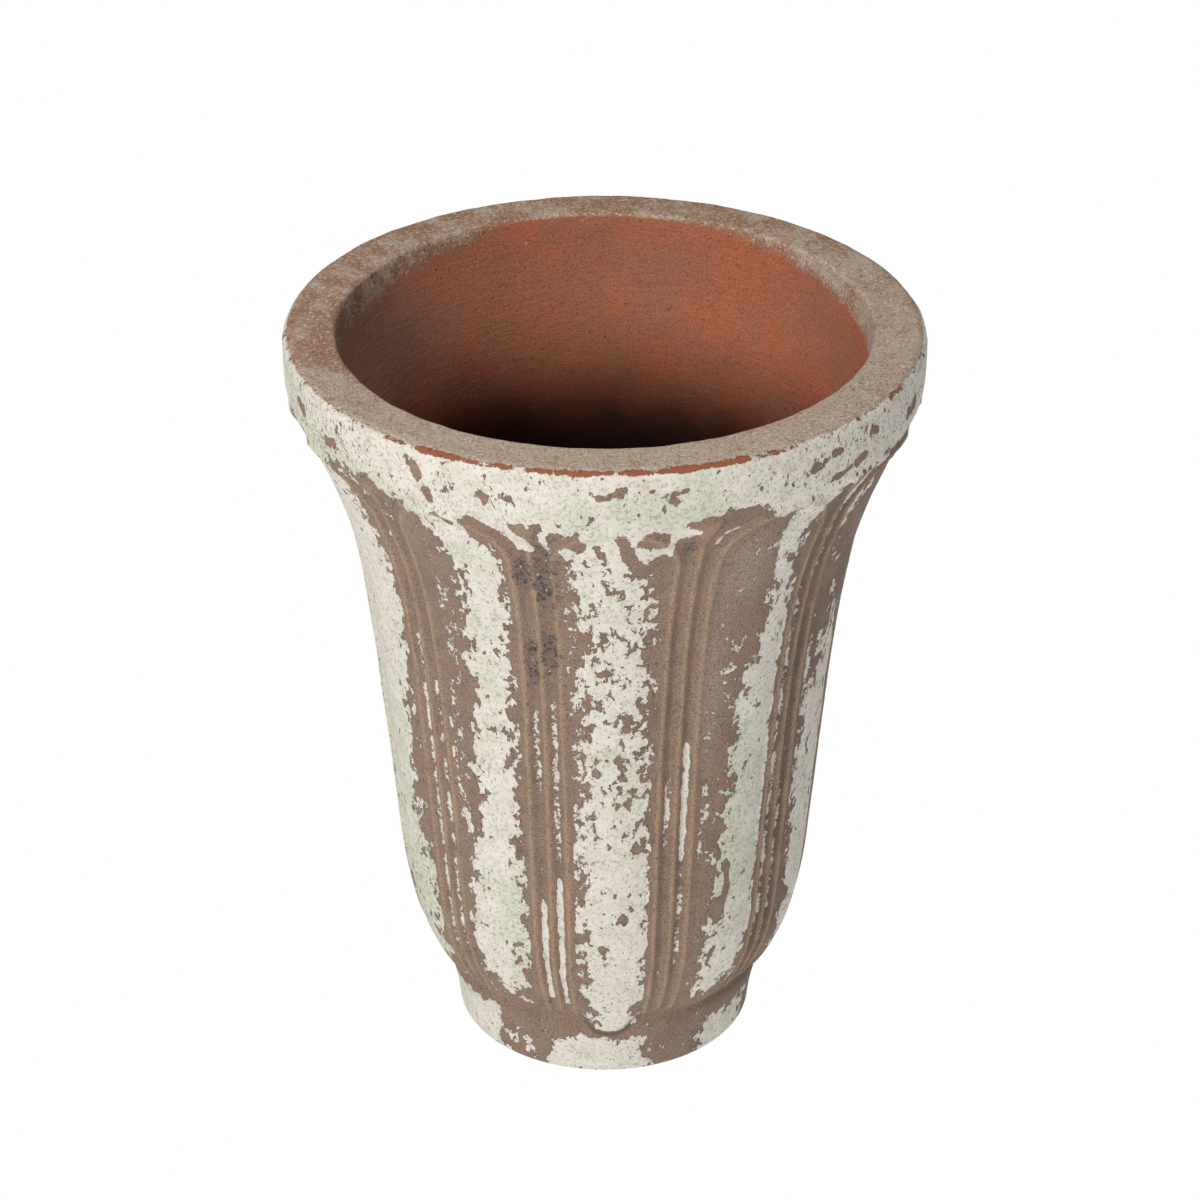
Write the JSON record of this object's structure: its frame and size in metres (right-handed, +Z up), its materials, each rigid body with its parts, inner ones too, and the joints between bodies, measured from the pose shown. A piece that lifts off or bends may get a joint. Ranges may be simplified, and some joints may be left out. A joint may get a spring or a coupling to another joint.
{
  "type": "terracotta pot",
  "caption": "Tall flared garden planter of press-moulded terracotta with petal relief, a thick flat lip, a foot ring and a drainage hole.",
  "frame": {"origin": "centre of the foot ring's underside, on the surface that the pot stands on", "axes": "+Z up along the pot's axis; one petal faces -Y, which is the front"},
  "size_m": [0.2796, 0.2796, 0.349],
  "materials": {
    "limewashed_clay": "worn white limewash over matt brown slip and orange-red terracotta",
    "brown_relief_clay": "matt brown slip, rubbed lighter along the raised edges, with traces of limewash",
    "bare_clay": "bare matt terracotta"
  },
  "bodies": {
    "root": {"rim_band": "limewashed_clay", "wall": "limewashed_clay", "floor": "bare_clay", "foot_ring": "limewashed_clay", "arch_bead_01": "brown_relief_clay", "arch_bead_02": "brown_relief_clay", "arch_bead_03": "brown_relief_clay", "arch_bead_04": "brown_relief_clay", "arch_bead_05": "brown_relief_clay", "arch_bead_06": "brown_relief_clay", "arch_bead_07": "brown_relief_clay", "arch_bead_08": "brown_relief_clay", "arch_bead_09": "brown_relief_clay", "arch_bead_10": "brown_relief_clay", "arch_bead_11": "brown_relief_clay", "centre_reed_01": "brown_relief_clay", "centre_reed_02": "brown_relief_clay", "centre_reed_03": "brown_relief_clay", "centre_reed_04": "brown_relief_clay", "centre_reed_05": "brown_relief_clay", "centre_reed_06": "brown_relief_clay", "centre_reed_07": "brown_relief_clay", "centre_reed_08": "brown_relief_clay", "centre_reed_09": "brown_relief_clay", "centre_reed_10": "brown_relief_clay", "centre_reed_11": "brown_relief_clay"}
  },
  "joints": []
}
